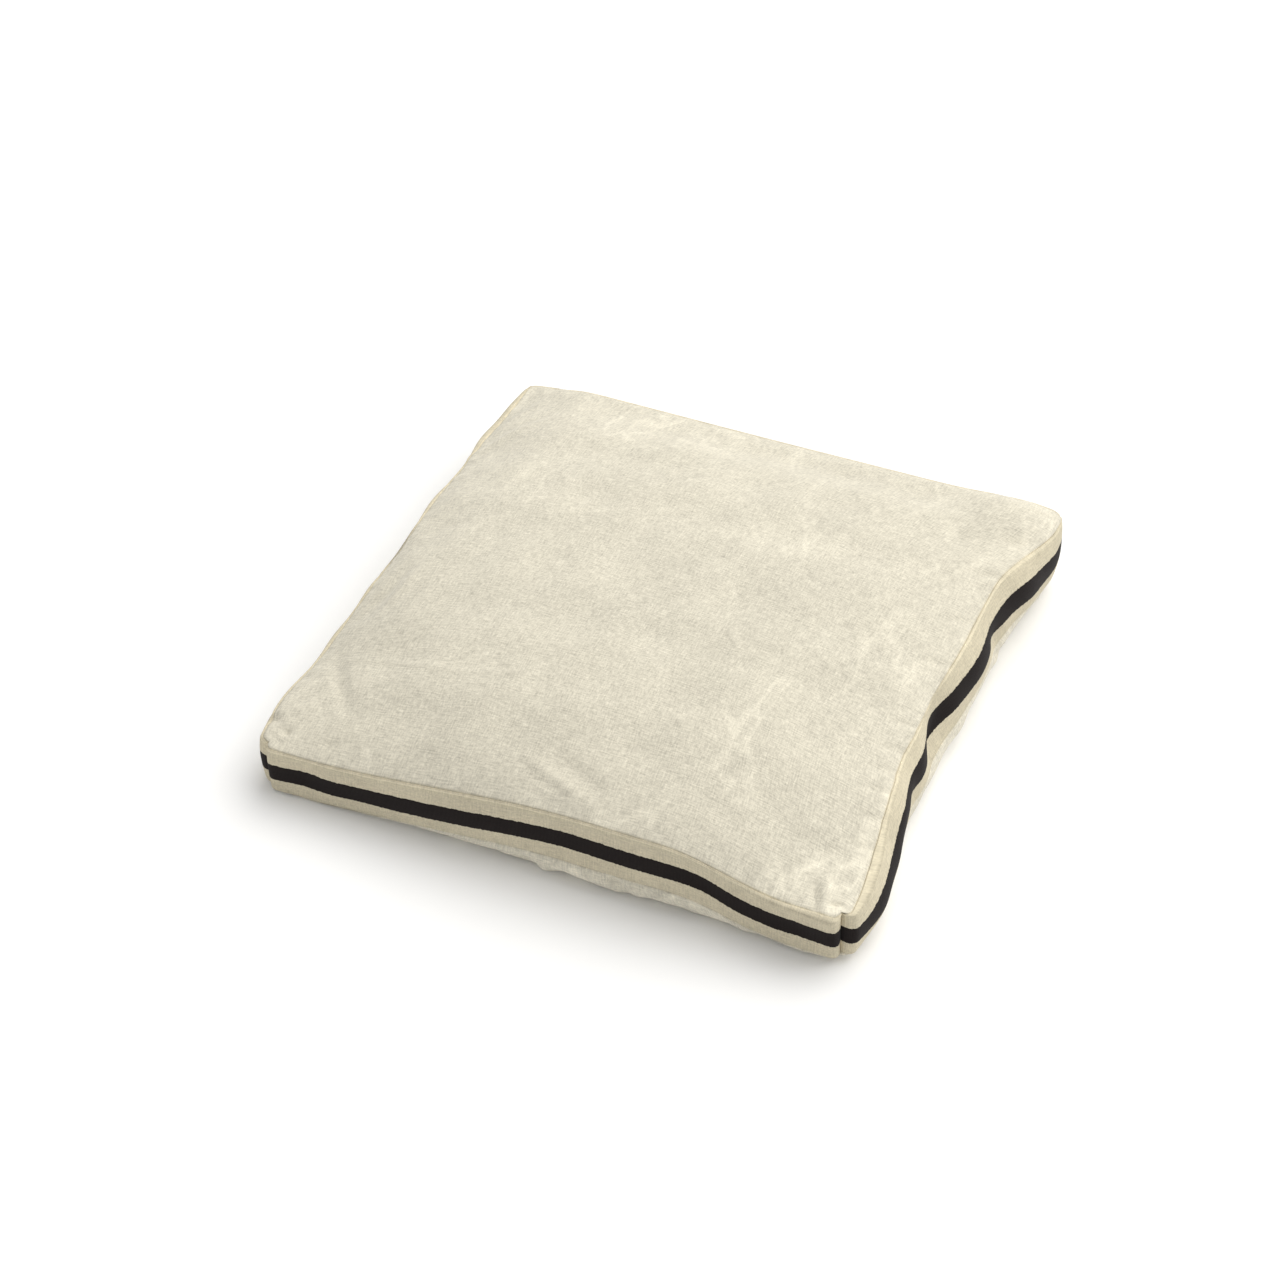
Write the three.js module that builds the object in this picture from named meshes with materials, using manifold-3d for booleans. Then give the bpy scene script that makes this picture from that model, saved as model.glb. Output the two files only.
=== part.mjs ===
// Floor cushion: a boxed linen cover with four striped side bands and a zip under its back band,
// around a removable cotton pad case full of loose fibre.
// Millimetres, +Z up. The origin is on the floor, under the middle of the cushion.
// The front of the cushion faces -Y, and the zip is at the back, +Y.

import * as THREE from "three";
import { mergeVertices } from "three/addons/utils/BufferGeometryUtils.js";
import Module from "manifold-3d";

const wasm = await Module();
wasm.setup();

// ---- driving dimensions ----

const CUSHION_SIDE = 650;
const CUSHION_THICKNESS = 140; // at the middle of the crown
const BAND_HEIGHT = 57;
const CORNER_LIFT = 10; // lower seam above the floor at a corner
const SIDE_RAISE = 28; // how much higher the seams ride along the middle of a side
const SIDE_PULL = 14; // how far the middle of a side pulls in between its corners
const STRAIGHT_SHARE = 0.75; // share of a side that runs straight, before it eases to the corners
const BAND_BULGE = 3;

const FABRIC = 1.2; // cover cloth with its pressed seam allowance
const PAD_FABRIC = 0.8;
const FILL_CLEARANCE = 2.5; // loose fibre to the pad case
const GAP = 0.3; // clearance between neighbouring solids

// how far each layer lies inside the cover's outer surface, at the side walls and at the faces
const COVER_LAYER = { side: 0, face: 0 };
const PAD_LAYER = { side: 11, face: 3 }; // the zip needs its room beside the pad
const FILL_LAYER = {
  side: PAD_LAYER.side + PAD_FABRIC + FILL_CLEARANCE,
  face: PAD_LAYER.face + PAD_FABRIC + FILL_CLEARANCE,
};

const TOP_FLAT = 0.1; // share of the half side before the crown starts to fall
const BOTTOM_FLAT = 0.6; // share of the half side that rests flat on the floor

const WINDOW_LENGTH = 444; // opening below the back band that the zip closes
const WINDOW_HEIGHT = 13.5;
const ZIP_CLOSED_END = 222; // x of the far faces of the top stops
const ZIP_OPEN_END = -202; // x of the near face of the bottom stop, a pull's length short of the window's end
const TAPE_LENGTH = 468;
const TAPE_THICKNESS = 0.6;
const TAPE_HALF_GAP = 0.9;
const COIL_INNER = 0.8; // coil row's near edge from the middle of the zip
const COIL_WIDTH = 2;
const COIL_HEIGHT = 2.2;
const ZIP_RECESS = 7; // tape face behind the band's lower edge
const SEWN_DEPTH = 7; // lower tape behind the sloping face of the bottom panel
const SLIDER_LENGTH = 9;
const SLIDER_HALF_WIDTH = 4.2;
const SLIDER_PLATE = 1.2;
const PULL_THICKNESS = 0.9;
const PULL_LENGTH = 24;
const PULL_HOLE_RADIUS = 1.1;
const STOP_LENGTH = 3;

const SIDE_STEPS = 16; // the same on panels and bands, so that their edges stay in line
const BAND_ROWS = 3;

// ---- derived places ----

const HALF = CUSHION_SIDE / 2;
const sideSeamHeight = CORNER_LIFT + SIDE_RAISE;
const tapeFace = HALF - SIDE_PULL - ZIP_RECESS; // y of the tapes' outer face
const zipHeight = sideSeamHeight - 6;
const coilFace = tapeFace + GAP + COIL_HEIGHT;
const sliderFace = coilFace + GAP + SLIDER_PLATE; // y of the slider's outer face
const pullAxis = sliderFace + GAP + PULL_THICKNESS / 2;
const sliderRest = ZIP_CLOSED_END - STOP_LENGTH - SLIDER_LENGTH / 2 - GAP;

// ---- materials ----

function finish(colour, roughness, metalness = 0) {
  return new THREE.MeshStandardMaterial({ color: colour, roughness, metalness });
}

const linen = finish(0xe6e0cb, 0.95);
const bandLinen = finish(0xd3cab4, 0.9);
const padCotton = finish(0xf2efe6, 0.9);
const fibre = finish(0xfbfaf6, 1);
const labelRibbon = finish(0xf5f2ea, 0.7);
const tapeCloth = finish(0xcfc6b0, 0.85);
const nylon = finish(0xc9bfa8, 0.45);
const nickel = finish(0xb9b6ae, 0.35, 0.9);

// ---- the cushion's form ----

// 1 along the straight middle of a side, easing to 0 at its corners
function middle(t) {
  return 1 - THREE.MathUtils.smoothstep(Math.abs(t), STRAIGHT_SHARE, 1);
}

// 1 over the flat middle, then a quarter ellipse down to 0 at the seam
function dome(s, flat) {
  const past = Math.max(0, (Math.abs(s) - flat) / (1 - flat));
  return Math.sqrt(Math.max(0, 1 - past * past));
}

// half width of the cushion at t along a side, t from -1 to 1
function reach(t, inset) {
  return HALF - inset - SIDE_PULL * middle(t);
}

// height of the lower seam where the other direction is at t
function seamHeight(u, v) {
  return CORNER_LIFT + SIDE_RAISE * (middle(u) * Math.abs(v) + middle(v) * Math.abs(u));
}

// a point on a layer's top or bottom, u and v from -1 to 1 across it, at a depth under its surface
function panelPoint(u, v, layer, depth, isTop) {
  const x = u * reach(v, layer.side + depth);
  const y = v * reach(u, layer.side + depth);
  const seam = seamHeight(u, v) + (isTop ? BAND_HEIGHT - layer.face : layer.face);
  const flat = isTop ? TOP_FLAT : BOTTOM_FLAT;
  const far = isTop ? CUSHION_THICKNESS - layer.face - depth : layer.face + depth;
  return [x, y, seam + (far - seam) * dome(u, flat) * dome(v, flat)];
}

// moves every vertex of a geometry to place(x, y, z), and gives it fresh normals
function mould(geometry, place) {
  const position = geometry.getAttribute("position");
  for (let i = 0; i < position.count; i++) {
    position.setXYZ(i, ...place(position.getX(i), position.getY(i), position.getZ(i)));
  }
  geometry.computeVertexNormals();
  return geometry;
}

// grid lines crowd towards the seams, where the form bends most
function spread(s) {
  return Math.sin((s * Math.PI) / 2);
}

// a thin curved panel: the top or the bottom of the cover or of the pad case
function panelSheet(layer, thickness, isTop) {
  const box = new THREE.BoxGeometry(2, 2, 1, SIDE_STEPS, SIDE_STEPS, 1);
  const outside = isTop ? 1 : -1;
  return mould(box, (u, v, w) => {
    const depth = w * outside > 0 ? 0 : thickness;
    return panelPoint(spread(u), spread(v), layer, depth, isTop);
  });
}

// a strip of side wall as it stands on the front side, from share t0 to share t1 of the side,
// and from share h0 to share h1 of the band's height
function bandSheet(layer, thickness, t0 = -1, t1 = 1, h0 = 0, h1 = 1) {
  const box = new THREE.BoxGeometry(2, 1, 1, SIDE_STEPS, 1, BAND_ROWS);
  const lowEdge = layer.face + GAP;
  const height = BAND_HEIGHT - 2 * lowEdge;
  return mould(box, (along, across, up) => {
    const t = THREE.MathUtils.mapLinear(spread(along), -1, 1, t0, t1);
    const share = THREE.MathUtils.mapLinear(up, -0.5, 0.5, h0, h1);
    const inset = layer.side + (across < 0 ? 0 : thickness);
    const bulge = BAND_BULGE * 4 * share * (1 - share) * dome(t, 0);
    return [
      t * (HALF - inset - GAP),
      -(reach(t, inset) + bulge),
      CORNER_LIFT + SIDE_RAISE * middle(t) + lowEdge + height * share,
    ];
  });
}

// ---- solids that are cut or joined ----

function solid(geometry) {
  const bare = geometry.clone();
  bare.deleteAttribute("normal");
  bare.deleteAttribute("uv");
  const merged = mergeVertices(bare, 1e-4);
  return new wasm.Manifold(
    new wasm.Mesh({
      numProp: 3,
      vertProperties: merged.getAttribute("position").array,
      triVerts: new Uint32Array(merged.index.array),
    }),
  );
}

function geometryOf(manifold) {
  const { vertProperties, triVerts } = manifold.getMesh();
  const geometry = new THREE.BufferGeometry();
  geometry.setAttribute("position", new THREE.BufferAttribute(vertProperties, 3));
  geometry.setIndex(new THREE.BufferAttribute(triVerts, 1));
  const flat = geometry.toNonIndexed();
  flat.computeVertexNormals();
  return flat;
}

// a box between two corners
function block(low, high) {
  const size = high.map((value, i) => value - low[i]);
  const centre = high.map((value, i) => (value + low[i]) / 2);
  return new THREE.BoxGeometry(...size).translate(...centre);
}

// an outline of [y, z] points, extruded along X about the middle
function alongX(points, length) {
  const shape = new THREE.Shape(points.map(([y, z]) => new THREE.Vector2(y, z)));
  const bar = new THREE.ExtrudeGeometry(shape, { depth: length, bevelEnabled: false });
  bar.translate(0, 0, -length / 2);
  // the outline's own x and y become Y and Z, and the depth becomes X
  const turn = new THREE.Matrix4().makeBasis(
    new THREE.Vector3(0, 1, 0),
    new THREE.Vector3(0, 0, 1),
    new THREE.Vector3(1, 0, 0),
  );
  return bar.applyMatrix4(turn);
}

// ---- the cover ----

function bottomPanel() {
  const sheet = solid(panelSheet(COVER_LAYER, FABRIC, false));
  const windowHalf = WINDOW_LENGTH / 2 + GAP;
  const window = block(
    [-windowHalf, tapeFace - 30, sideSeamHeight - WINDOW_HEIGHT],
    [windowHalf, HALF + 10, sideSeamHeight + 10],
  );
  return geometryOf(sheet.subtract(solid(window)));
}

// ---- the zip ----

// y of the bottom panel's outer face under the zip, at height z
function panelFace(z) {
  const fall = 1 - z / sideSeamHeight;
  return (HALF - SIDE_PULL) * (BOTTOM_FLAT + (1 - BOTTOM_FLAT) * Math.sqrt(1 - fall * fall));
}

// the upper tape runs from the coil up behind the band
function upperTape() {
  const edge = zipHeight + TAPE_HALF_GAP;
  const bend = edge + 3.5;
  const wall = HALF - SIDE_PULL - FABRIC - GAP;
  const top = bend + 11;
  const outer = [[tapeFace, edge], [tapeFace, bend], [wall, bend + 3], [wall, top]];
  return tapeStrip(outer);
}

// the lower tape runs from the coil down behind the bottom panel
function lowerTape() {
  const edge = zipHeight - TAPE_HALF_GAP;
  const sewn = sideSeamHeight - WINDOW_HEIGHT;
  const outer = [
    [tapeFace, edge],
    [tapeFace, edge - 3.5],
    [panelFace(sewn) - SEWN_DEPTH, sewn],
    [panelFace(sewn - 6) - SEWN_DEPTH, sewn - 6],
  ];
  return tapeStrip(outer);
}

function tapeStrip(outer) {
  const inner = outer.map(([y, z]) => [y - TAPE_THICKNESS, z]).reverse();
  return alongX([...outer, ...inner], TAPE_LENGTH);
}

// one row of the coil, on the tape's face; side is 1 for the upper row and -1 for the lower
function coilRow(side) {
  const near = zipHeight + side * COIL_INNER;
  const far = zipHeight + side * (COIL_INNER + COIL_WIDTH);
  const low = Math.min(near, far);
  const high = Math.max(near, far);
  const closedEnd = ZIP_CLOSED_END - STOP_LENGTH - GAP;
  return block([ZIP_OPEN_END + GAP, tapeFace + GAP, low], [closedEnd, coilFace, high]);
}

// two plates on a neck, with flanges that hold the rows and a bail for the pull
function slider() {
  const backFace = tapeFace - TAPE_THICKNESS - GAP;
  const flange = SLIDER_HALF_WIDTH - 0.8;
  const neck = COIL_INNER - GAP;
  const plateBack = sliderFace - SLIDER_PLATE;
  const flangeBack = tapeFace + 2 * GAP;
  const half = [
    [sliderFace, SLIDER_HALF_WIDTH],
    [flangeBack, SLIDER_HALF_WIDTH],
    [flangeBack, flange],
    [plateBack, flange],
    [plateBack, neck],
    [backFace, neck],
    [backFace, SLIDER_HALF_WIDTH],
    [backFace - SLIDER_PLATE, SLIDER_HALF_WIDTH],
  ];
  const mirrored = half.map(([y, z]) => [y, -z]).reverse();
  const body = solid(alongX([...half, ...mirrored], SLIDER_LENGTH));
  const bailHalfLength = 3.2;
  const bailHalfWidth = 0.8;
  const bailWall = 0.7;
  const barRoom = PULL_THICKNESS + 2 * GAP;
  const bail = block(
    [-bailHalfLength, sliderFace - 0.5, -bailHalfWidth],
    [bailHalfLength, sliderFace + barRoom + bailWall, bailHalfWidth],
  );
  const eye = block(
    [-bailHalfLength + bailWall, sliderFace, -2],
    [bailHalfLength - bailWall, sliderFace + barRoom, 2],
  );
  return geometryOf(body.add(solid(bail).subtract(solid(eye))));
}

// a flat tab with a slot, whose end bar turns under the slider's bail
function pull() {
  const barHalf = PULL_THICKNESS / 2;
  const armInner = 1.2;
  const armOuter = 2;
  const slotEnd = 6;
  const tabHalf = 3.2;
  const outline = new THREE.Shape();
  outline.moveTo(barHalf, -armOuter);
  outline.lineTo(barHalf, armOuter);
  outline.lineTo(-slotEnd, armOuter);
  outline.lineTo(-slotEnd - 4, tabHalf);
  outline.absarc(-PULL_LENGTH + tabHalf, 0, tabHalf, Math.PI / 2, (3 * Math.PI) / 2);
  outline.lineTo(-slotEnd - 4, -tabHalf);
  outline.lineTo(-slotEnd, -armOuter);
  const slot = new THREE.Path();
  slot.moveTo(-barHalf, -armInner);
  slot.lineTo(-slotEnd, -armInner);
  slot.lineTo(-slotEnd, armInner);
  slot.lineTo(-barHalf, armInner);
  const hole = new THREE.Path();
  hole.absarc(-PULL_LENGTH + tabHalf, 0, PULL_HOLE_RADIUS, 0, 2 * Math.PI);
  outline.holes.push(slot, hole);
  const plate = new THREE.ExtrudeGeometry(outline, {
    depth: PULL_THICKNESS,
    bevelEnabled: false,
    curveSegments: 8,
  });
  // stands the plate up, so that its width runs along Z and its thickness along Y
  return plate.translate(0, 0, -PULL_THICKNESS / 2).rotateX(Math.PI / 2);
}

// a clip in line with one row, or with both, past the end of the coil; x is its low end
function stop(x, low, high) {
  return block([x, tapeFace + GAP, low], [x + STOP_LENGTH, coilFace, high]);
}

// ---- assembly ----

const cushion = new THREE.Group();

function add(name, geometry, material, place = [0, 0, 0], turn = 0) {
  const mesh = new THREE.Mesh(geometry, material.clone());
  mesh.name = name;
  mesh.position.set(...place);
  mesh.rotation.z = turn;
  cushion.add(mesh);
  return mesh;
}

add("top_panel", panelSheet(COVER_LAYER, FABRIC, true), linen);
add("bottom_panel", bottomPanel(), linen);
add("pad_case_top", panelSheet(PAD_LAYER, PAD_FABRIC, true), padCotton);
// the pad is square, so its bottom may lie a quarter turn round
const padBottom = panelSheet(PAD_LAYER, PAD_FABRIC, false);
add("pad_case_bottom", padBottom, padCotton, [0, 0, 0], Math.PI / 2);

["front", "right", "back", "left"].forEach((side, i) => {
  const turn = (i * Math.PI) / 2;
  add(`band_${side}`, bandSheet(COVER_LAYER, FABRIC), bandLinen, [0, 0, 0], turn);
  add(`pad_case_band_${side}`, bandSheet(PAD_LAYER, PAD_FABRIC), padCotton, [0, 0, 0], turn);
});

// the loose fibre fills the pad case
const fillBlock = new THREE.BoxGeometry(2, 2, 2, SIDE_STEPS, SIDE_STEPS, 1);
const filling = mould(fillBlock, (u, v, w) =>
  panelPoint(spread(u), spread(v), FILL_LAYER, 0, w > 0),
);
add("pad_filling", filling, fibre);

const labelLayer = { side: FABRIC + GAP, face: 0 };
const label = bandSheet(labelLayer, GAP, -0.45, -0.35, 0.4, 0.95);
add("care_label", label, labelRibbon, [0, 0, 0], Math.PI);

add("zip_tape_upper", upperTape(), tapeCloth);
add("zip_tape_lower", lowerTape(), tapeCloth);
add("zip_coil_upper", coilRow(1), nylon);
add("zip_coil_lower", coilRow(-1), nylon);

const topStop = ZIP_CLOSED_END - STOP_LENGTH;
const bottomStop = ZIP_OPEN_END - STOP_LENGTH;
const rowFar = COIL_INNER + COIL_WIDTH;
add("zip_top_stop_upper", stop(topStop, zipHeight + COIL_INNER, zipHeight + rowFar), nickel);
add("zip_top_stop_lower", stop(topStop, zipHeight - rowFar, zipHeight - COIL_INNER), nickel);
add("zip_bottom_stop", stop(bottomStop, zipHeight - rowFar, zipHeight + rowFar), nickel);

add("zip_slider", slider(), nickel, [sliderRest, 0, zipHeight]);
add("zip_pull", pull(), nickel, [sliderRest, pullAxis, zipHeight]);

export default cushion;
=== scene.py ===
import math
import random

import bmesh
import bpy
import numpy as np
from mathutils import Matrix, Vector


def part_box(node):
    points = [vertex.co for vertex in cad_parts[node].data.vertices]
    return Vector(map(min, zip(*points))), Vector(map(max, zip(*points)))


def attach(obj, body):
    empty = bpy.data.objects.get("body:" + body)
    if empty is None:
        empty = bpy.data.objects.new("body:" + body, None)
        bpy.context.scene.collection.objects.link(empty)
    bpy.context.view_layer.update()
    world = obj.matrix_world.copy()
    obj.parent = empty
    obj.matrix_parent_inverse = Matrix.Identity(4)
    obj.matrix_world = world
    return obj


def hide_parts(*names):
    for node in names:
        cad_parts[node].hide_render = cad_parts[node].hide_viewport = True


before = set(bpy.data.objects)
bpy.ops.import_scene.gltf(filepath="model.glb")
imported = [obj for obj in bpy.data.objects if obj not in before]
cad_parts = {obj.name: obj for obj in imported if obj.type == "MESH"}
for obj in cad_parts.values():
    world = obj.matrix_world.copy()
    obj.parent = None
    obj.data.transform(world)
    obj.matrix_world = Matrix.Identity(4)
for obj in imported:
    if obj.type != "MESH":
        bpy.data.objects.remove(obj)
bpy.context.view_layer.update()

bl_info = {
    "name": "Floor cushion",
    "version": (1, 0, 0),
    "blender": (4, 5, 0),
    "location": "View3D > Sidebar > Cushion",
    "description": "Dresses the packed floor cushion in washed linen, with its pad, label and zip",
    "category": "Object",
}

# ---- places and sizes that the frame gives, in metres ----

TOP_LOW, TOP_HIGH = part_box("top_panel")
BOTTOM_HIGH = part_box("bottom_panel")[1]
UPPER_ROW_LOW, UPPER_ROW_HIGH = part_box("zip_coil_upper")
LOWER_ROW_LOW, LOWER_ROW_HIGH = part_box("zip_coil_lower")
LOWER_TAPE_LOW, LOWER_TAPE_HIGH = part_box("zip_tape_lower")
CROWN_HEIGHT = TOP_HIGH.z
ZIP_SEAM_HEIGHT = BOTTOM_HIGH.z

MM = 0.001
TOUCH = 0.001 * MM  # places on the flat cloth closer than this lie on each other


def srgb(red, green, blue):
    """A colour as a paint card gives it, 0 to 255, as the linear values that shaders use."""
    shares = [value / 255 for value in (red, green, blue)]
    return tuple(s / 12.92 if s <= 0.04045 else ((s + 0.055) / 1.055) ** 2.4 for s in shares)


# ---- what a user may change ----

class CushionSizes(bpy.types.PropertyGroup):
    """Sizes of the cushion's cloth pieces."""

    side: bpy.props.FloatProperty(
        name="Side",
        description="Length of a side from corner to corner",
        default=TOP_HIGH.x - TOP_LOW.x,
        unit="LENGTH",
    )
    band: bpy.props.FloatProperty(
        name="Band",
        description="Height of the side band between its two seams",
        default=57 * MM,
        unit="LENGTH",
    )
    stripe: bpy.props.FloatProperty(
        name="Stripe",
        description="Width of the dark stripe along the middle of the band",
        default=21 * MM,
        unit="LENGTH",
    )
    crown: bpy.props.FloatProperty(
        name="Crown",
        description="Height of the middle of the top above the floor",
        default=CROWN_HEIGHT,
        unit="LENGTH",
    )
    cell: bpy.props.FloatProperty(
        name="Cloth cell",
        description="Size of one cell of the cloth before it is refined once",
        default=5.4 * MM,
        unit="LENGTH",
    )
    thread: bpy.props.FloatProperty(
        name="Thread",
        description="Distance from one thread of the linen to the next",
        default=0.9 * MM,
        unit="LENGTH",
    )
    rib: bpy.props.FloatProperty(
        name="Rib",
        description="Distance from one rib of the band to the next",
        default=1.5 * MM,
        unit="LENGTH",
    )


def colour_property(name, description, colour):
    """A colour that the panel shows as a swatch."""
    return bpy.props.FloatVectorProperty(
        name=name, description=description, default=colour, subtype="COLOR", min=0, max=1
    )


class CushionColours(bpy.types.PropertyGroup):
    """Colours of the cushion's materials."""

    linen: colour_property("Linen", "Washed linen of the panels", srgb(212, 206, 188))
    band: colour_property("Band", "Natural part of the side bands", srgb(201, 192, 168))
    stripe: colour_property("Stripe", "Dark stripe of the side bands", srgb(31, 26, 25))
    cotton: colour_property("Cotton", "Case of the inner pad", srgb(238, 234, 222))
    fibre: colour_property("Fibre", "Loose filling", srgb(247, 245, 240))
    ribbon: colour_property("Ribbon", "Care label", srgb(240, 236, 226))
    tape: colour_property("Zip tape", "Woven tape of the zip", srgb(199, 189, 166))
    coil: colour_property("Coil", "Nylon rows of the zip", srgb(186, 176, 153))
    metal: colour_property("Metal", "Slider, pull and stops", srgb(190, 187, 180))


def sizes():
    """The sizes that the panel holds."""
    return bpy.context.scene.cushion_sizes


def colours():
    """The colours that the panel holds."""
    return bpy.context.scene.cushion_colours


# ---- shader building ----

class Value:
    """A number or colour that changes over a surface, with arithmetic that adds Math nodes."""

    def __init__(self, shader, socket):
        self.shader = shader
        self.socket = socket

    def math(self, operation, *terms):
        """What a Math node makes of the terms."""
        return self.shader.node("Math", {"operation": operation}, dict(enumerate(terms)))

    def sine(self):
        """Its sine."""
        return self.math("SINE", self)

    def size(self):
        """How far it is from nought."""
        return self.math("ABSOLUTE", self)

    def __add__(self, other):
        return self.math("ADD", self, other)

    def __radd__(self, other):
        return self.math("ADD", other, self)

    def __sub__(self, other):
        return self.math("SUBTRACT", self, other)

    def __rsub__(self, other):
        return self.math("SUBTRACT", other, self)

    def __mul__(self, other):
        return self.math("MULTIPLY", self, other)

    def __rmul__(self, other):
        return self.math("MULTIPLY", other, self)


class Shader:
    """A material whose nodes are made one call at a time."""

    def __init__(self, name):
        self.material = bpy.data.materials.new(name)
        self.material.use_nodes = True
        self.nodes = self.material.node_tree.nodes
        self.links = self.material.node_tree.links
        self.surface = self.nodes["Principled BSDF"]

    def plug(self, socket, value):
        """Links a Value into a socket, or sets a constant on it."""
        if isinstance(value, Value):
            self.links.new(value.socket, socket)
        else:
            socket.default_value = value

    def node(self, kind, settings=None, inputs=None, output=0):
        """Adds a node, sets it up, fills its inputs and returns one of its outputs."""
        made = self.nodes.new("ShaderNode" + kind)
        for key, value in (settings or {}).items():
            setattr(made, key, value)
        for key, value in (inputs or {}).items():
            self.plug(made.inputs[key], value)
        return Value(self, made.outputs[output])

    def step(self, value, low, high):
        """0 below low, 1 above high, and an even ease between."""
        settings = {"interpolation_type": "SMOOTHSTEP"}
        return self.node("MapRange", settings, {"Value": value, "From Min": low, "From Max": high})

    def mix(self, low, high, factor):
        """A colour between two colours."""
        settings = {"data_type": "RGBA"}
        return self.node("Mix", settings, {0: factor, 6: opaque(low), 7: opaque(high)}, 2)

    def tint(self, colour, factor):
        """A colour times a grey level."""
        grey = self.node("CombineColor", {}, {0: factor, 1: factor, 2: factor})
        settings = {"data_type": "RGBA", "blend_type": "MULTIPLY"}
        return self.node("Mix", settings, {0: 1.0, 6: opaque(colour), 7: grey}, 2)

    def noise(self, place, scale, detail=2.0, roughness=0.5):
        """Soft noise from 0 to 1, with about this many blobs a metre."""
        inputs = {"Vector": place, "Scale": scale, "Detail": detail, "Roughness": roughness}
        return self.node("TexNoise", {}, inputs)

    def stretch(self, place, across, along, turn=0.0):
        """The same place seen through other scales, so that a pattern is drawn out."""
        inputs = {"Vector": place, "Rotation": (0, 0, turn), "Scale": (across, along, 1)}
        return self.node("Mapping", {}, inputs)

    def axes(self, place):
        """The three parts of a place."""
        split = self.node("SeparateXYZ", {}, {"Vector": place})
        outputs = split.socket.node.outputs
        return [Value(self, outputs[i]) for i in range(3)]

    def object_place(self):
        """The place on the object, in metres."""
        return self.node("TexCoord", {}, {}, "Object")

    def cloth_place(self):
        """The place on the flat cloth, in metres."""
        return self.node("UVMap", {"uv_map": "cloth"}, {})

    def bump(self, height, strength, distance):
        """A normal that follows a height from 0 to 1, which is so many metres high."""
        return self.node("Bump", {}, {"Strength": strength, "Distance": distance, "Height": height})

    def finish(self, constants, **patterns):
        """Sets the surface: constant values by socket name, and what changes over it."""
        for key, value in constants.items():
            self.surface.inputs[key].default_value = value
        for key, value in patterns.items():
            self.plug(self.surface.inputs[key.replace("_", " ")], value)
        return self.material


def opaque(colour):
    """A colour with its fourth value, or a Value as it is."""
    return colour if isinstance(colour, Value) else (*colour[:3], 1)


def plain_weave(shader, place, pitch):
    """Height of threads that pass over and under each other, from 0 to 1."""
    across, along, _ = shader.axes(place)
    turn = math.pi / pitch
    over = (across * turn).sine() * (along * turn).sine()
    return over * 0.5 + 0.5


def slubs(shader, place, pitch):
    """Thick and thin stretches of single threads, both ways of the cloth, from 0 to 1."""
    fine = 1 / (1.6 * pitch)
    long = 1 / (14 * pitch)
    warp = shader.noise(shader.stretch(place, fine, long), 1.0, 1.0)
    weft = shader.noise(shader.stretch(place, long, fine), 1.0, 1.0)
    return (warp + weft) * 0.5


def creases(shader, place, scale, turn):
    """Thin worn lines that washing leaves, 1 on a line and 0 off it."""
    drawn = shader.stretch(place, 1.0, 0.45, turn)
    field = shader.noise(drawn, scale, 3.0, 0.6)
    line = 1 - (field - 0.5).size() * 26
    kept = shader.step(shader.noise(drawn, scale * 0.6, 1.0), 0.5, 0.66)
    return line.math("MAXIMUM", line, 0.0) * kept


def linen_material():
    """Washed plain-weave linen: slubs, soft mottling and pale crease lines."""
    shader = Shader("washed_linen")
    cloth = shader.cloth_place()
    place = shader.object_place()
    thread = sizes().thread
    weave = plain_weave(shader, cloth, thread)
    slub = slubs(shader, cloth, thread)
    mottle = shader.noise(place, 11.0, 5.0, 0.6)
    cloud = shader.noise(place, 75.0, 3.0, 0.6)
    speck = shader.noise(cloth, 330.0, 2.0, 0.7)
    lines = creases(shader, place, 9.0, 0.5) + creases(shader, place, 13.0, -0.7)
    grain = slub * 1.0 + speck * 0.6 + cloud * 0.24 + mottle * 0.3 + weave * 0.06
    level = grain - 0.1 + lines * 0.15
    height = weave * 0.4 + slub * 1.5 + speck * 0.6 + cloud * 0.8
    return shader.finish(
        {"Sheen Weight": 0.2, "Sheen Roughness": 0.6, "Specular IOR Level": 0.2},
        Base_Color=shader.tint(colours().linen, level),
        Roughness=0.86 + mottle * 0.12,
        Normal=shader.bump(height, 0.7, 0.6 * MM),
    )


def band_material():
    """Ribbed linen tape with a dark stripe woven along its middle."""
    shader = Shader("striped_band")
    cloth = shader.cloth_place()
    along, up, _ = shader.axes(cloth)
    rib_turn = 2 * math.pi / sizes().rib
    rib = (along * rib_turn).sine() * 0.5 + 0.5
    slub = slubs(shader, cloth, sizes().thread)
    speck = shader.noise(cloth, 500.0, 2.0, 0.7)
    tooth = shader.noise(shader.stretch(cloth, 330.0, 40.0), 1.0, 0.0)
    ragged = shader.noise(shader.stretch(cloth, 900.0, 90.0), 1.0, 0.0)
    offset = up - sizes().band / 2
    reach = offset.size() + (tooth - 0.5) * 1.7 * MM + (ragged - 0.5) * 0.8 * MM
    natural = shader.step(reach, sizes().stripe / 2 - 0.15 * MM, sizes().stripe / 2 + 0.15 * MM)
    mottle = shader.noise(shader.object_place(), 22.0, 3.0, 0.6)
    # painted highlight: a lighter line along the band's upper edge, where its raised edge catches the
    # light
    edge_highlight = shader.step(up, sizes().band - 2.6 * MM, sizes().band - 1.2 * MM)
    level = 0.1 + edge_highlight * 0.26 + slub * 0.8 + speck * 0.6 + rib * 0.14 + mottle * 0.3
    light = shader.tint(colours().band, level)
    dark = shader.tint(colours().stripe, 0.7 + speck * 0.5 + rib * 0.15)
    height = rib * 0.9 + slub * 1.0 + speck * 0.5
    return shader.finish(
        {"Sheen Weight": 0.05, "Sheen Roughness": 0.5, "Specular IOR Level": 0.1},
        Base_Color=shader.mix(dark, light, natural),
        Roughness=0.84 + mottle * 0.1,
        Normal=shader.bump(height, 0.6, 0.35 * MM),
    )


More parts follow.
